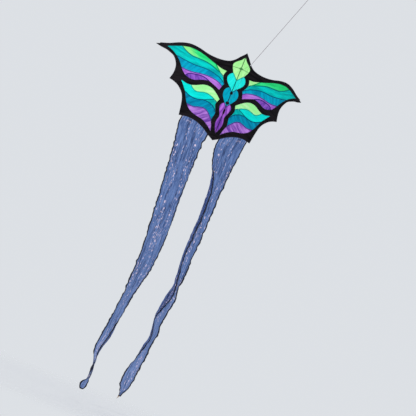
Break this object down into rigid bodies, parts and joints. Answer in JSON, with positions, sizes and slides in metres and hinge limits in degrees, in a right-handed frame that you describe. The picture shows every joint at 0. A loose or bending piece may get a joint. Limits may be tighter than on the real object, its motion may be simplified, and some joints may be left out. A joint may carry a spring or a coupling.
{
  "type": "dragon kite",
  "caption": "Single-line dragon kite with bowed, scalloped patchwork wings on a rod frame, a two-leg bridle with snap swivel and line, and two long streamer tails.",
  "frame": {"origin": "centre of the nose cap's flat end, on the spine rod's axis", "axes": "+Z along the spine towards the nose, +X across the wings to the right as the flyer sees the face, +Y out of the back of the sail"},
  "size_m": [1.689, 1.5457, 4.5231],
  "materials": {
    "sail_black": "black ripstop nylon, semi-matt with fine creases",
    "sail_lime": "pale lime translucent ripstop",
    "sail_emerald": "emerald green translucent ripstop",
    "sail_aqua": "aqua translucent ripstop",
    "sail_teal": "dark aqua translucent ripstop",
    "sail_blue": "blue translucent ripstop",
    "sail_lilac": "lilac translucent ripstop",
    "sail_purple": "deep purple translucent ripstop",
    "streamer": "sheer dark blue-violet organza with a serged hem",
    "rod": "pultruded black rod, satin",
    "vinyl": "soft black vinyl",
    "bridle_cord": "braided pale cord",
    "flying_line": "braided pale pink line",
    "steel": "plated spring steel"
  },
  "bodies": {
    "spine_frame": {"spine_rod": "rod", "spine_sleeve": "sail_black", "nose_cap": "vinyl", "tail_cap": "vinyl", "centre_fitting": "vinyl", "upper_patch": "sail_black", "lower_patch": "sail_black"},
    "left_wing": {"left_abdomen_panel": "sail_blue", "left_batten": "rod", "left_head_panel": "sail_lime", "left_lower_aqua_panel": "sail_aqua", "left_lower_blue_panel": "sail_blue", "left_lower_lime_panel": "sail_lime", "left_lower_purple_panel": "sail_purple", "left_lower_teal_panel": "sail_teal", "left_spar_joiner": "vinyl", "left_tail_leaf_panel": "sail_purple", "left_thorax_panel": "sail_aqua", "left_tip_cap": "vinyl", "left_upper_aqua_panel": "sail_aqua", "left_upper_blue_panel": "sail_blue", "left_upper_emerald_panel": "sail_emerald", "left_upper_lilac_panel": "sail_lilac", "left_upper_lime_panel": "sail_lime", "left_upper_purple_panel": "sail_purple", "left_wing_border": "sail_black", "left_wing_spar": "rod"},
    "right_wing": {"right_abdomen_panel": "sail_blue", "right_batten": "rod", "right_head_panel": "sail_lime", "right_lower_aqua_panel": "sail_aqua", "right_lower_blue_panel": "sail_blue", "right_lower_lime_panel": "sail_lime", "right_lower_purple_panel": "sail_purple", "right_lower_teal_panel": "sail_teal", "right_spar_joiner": "vinyl", "right_tail_leaf_panel": "sail_purple", "right_thorax_panel": "sail_aqua", "right_tip_cap": "vinyl", "right_upper_aqua_panel": "sail_aqua", "right_upper_blue_panel": "sail_blue", "right_upper_emerald_panel": "sail_emerald", "right_upper_lilac_panel": "sail_lilac", "right_upper_lime_panel": "sail_lime", "right_upper_purple_panel": "sail_purple", "right_wing_border": "sail_black", "right_wing_spar": "rod"},
    "left_tail_upper_length": {"left_tail_upper": "streamer"},
    "left_tail_middle_length": {"left_tail_middle": "streamer"},
    "left_tail_lower_length": {"left_tail_lower": "streamer"},
    "right_tail_upper_length": {"right_tail_upper": "streamer"},
    "right_tail_middle_length": {"right_tail_middle": "streamer"},
    "right_tail_lower_length": {"right_tail_lower": "streamer"},
    "bridle": {"upper_bridle_leg": "bridle_cord", "lower_bridle_leg": "bridle_cord", "tow_ring": "steel"},
    "snap": {"snap_hook": "steel", "swivel_barrel": "steel"},
    "gate": {"snap_gate": "steel"},
    "line": {"flying_line": "flying_line"}
  },
  "joints": [
    {"name": "left_wing_fold", "type": "hinge", "parent": "spine_frame", "child": "left_wing", "pos_m": [-0.0065, -0.004, -0.169], "axis": [0, 0, -1], "range_deg": [-20, 60]},
    {"name": "left_tail_root", "type": "hinge", "parent": "left_wing", "child": "left_tail_upper_length", "pos_m": [-0.2213, 0.03, -0.82], "axis": [-1, 0, 0], "range_deg": [-45, 45]},
    {"name": "left_tail_bend", "type": "hinge", "parent": "left_tail_upper_length", "child": "left_tail_middle_length", "pos_m": [-0.17852, 0.026, -1.8], "axis": [1, 0, 0], "range_deg": [-50, 50]},
    {"name": "left_tail_end_bend", "type": "hinge", "parent": "left_tail_middle_length", "child": "left_tail_lower_length", "pos_m": [-0.20454, 0.026, -2.75], "axis": [-1, 0, 0], "range_deg": [-60, 60]},
    {"name": "right_wing_fold", "type": "hinge", "parent": "spine_frame", "child": "right_wing", "pos_m": [0.0065, -0.004, -0.169], "axis": [0, 0, 1], "range_deg": [-20, 60]},
    {"name": "right_tail_root", "type": "hinge", "parent": "right_wing", "child": "right_tail_upper_length", "pos_m": [0.2213, 0.03, -0.82], "axis": [-1, 0, 0], "range_deg": [-45, 45]},
    {"name": "right_tail_bend", "type": "hinge", "parent": "right_tail_upper_length", "child": "right_tail_middle_length", "pos_m": [0.24393, 0.026, -1.8], "axis": [1, 0, 0], "range_deg": [-50, 50]},
    {"name": "right_tail_end_bend", "type": "hinge", "parent": "right_tail_middle_length", "child": "right_tail_lower_length", "pos_m": [0.20547, 0.026, -2.75], "axis": [-1, 0, 0], "range_deg": [-60, 60]},
    {"name": "bridle_swing", "type": "hinge", "parent": "spine_frame", "child": "bridle", "pos_m": [0, -0.0072, -0.19], "axis": [0, 0, 1], "range_deg": [-55, 55]},
    {"name": "snap_pitch", "type": "hinge", "parent": "bridle", "child": "snap", "pos_m": [0, -0.25854, -0.10308], "axis": [1, 0, 0], "range_deg": [-30, 30]},
    {"name": "snap_gate", "type": "hinge", "parent": "snap", "child": "gate", "pos_m": [0.004, -0.27187, -0.09158], "axis": [0, 0.6532, 0.7572], "range_deg": [0, 18]},
    {"name": "line_spin", "type": "hinge", "parent": "snap", "child": "line", "pos_m": [0, -0.28285, -0.08211], "axis": [0, -0.7572, 0.6532], "continuous": true}
  ]
}
